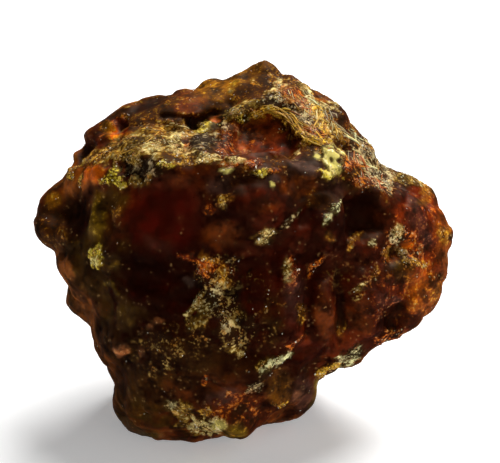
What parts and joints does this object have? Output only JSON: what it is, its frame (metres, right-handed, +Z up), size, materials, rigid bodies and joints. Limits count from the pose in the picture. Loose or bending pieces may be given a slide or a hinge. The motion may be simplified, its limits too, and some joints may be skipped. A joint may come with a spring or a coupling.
{
  "type": "raw copal lump",
  "caption": "Knobbly rough lump of raw copal resin, a natural piece that rests on a worn flat under it.",
  "frame": {"origin": "middle of the lump's box in X and Y, on the surface that it rests on", "axes": "+Z up, +X to the right and -Y out of the broad face, which leans back"},
  "size_m": [0.0616, 0.0439, 0.0503],
  "materials": {
    "copal_resin": "dark amber-brown see-through resin, softly glossy on broken and worn faces",
    "weathered_crust": "dull granular crust, ochre and rust with pale green-white patches",
    "bark_fibre": "dry tan bark fibres pressed into the crust"
  },
  "bodies": {
    "root": {"copal_lump": "copal_resin"}
  },
  "joints": []
}
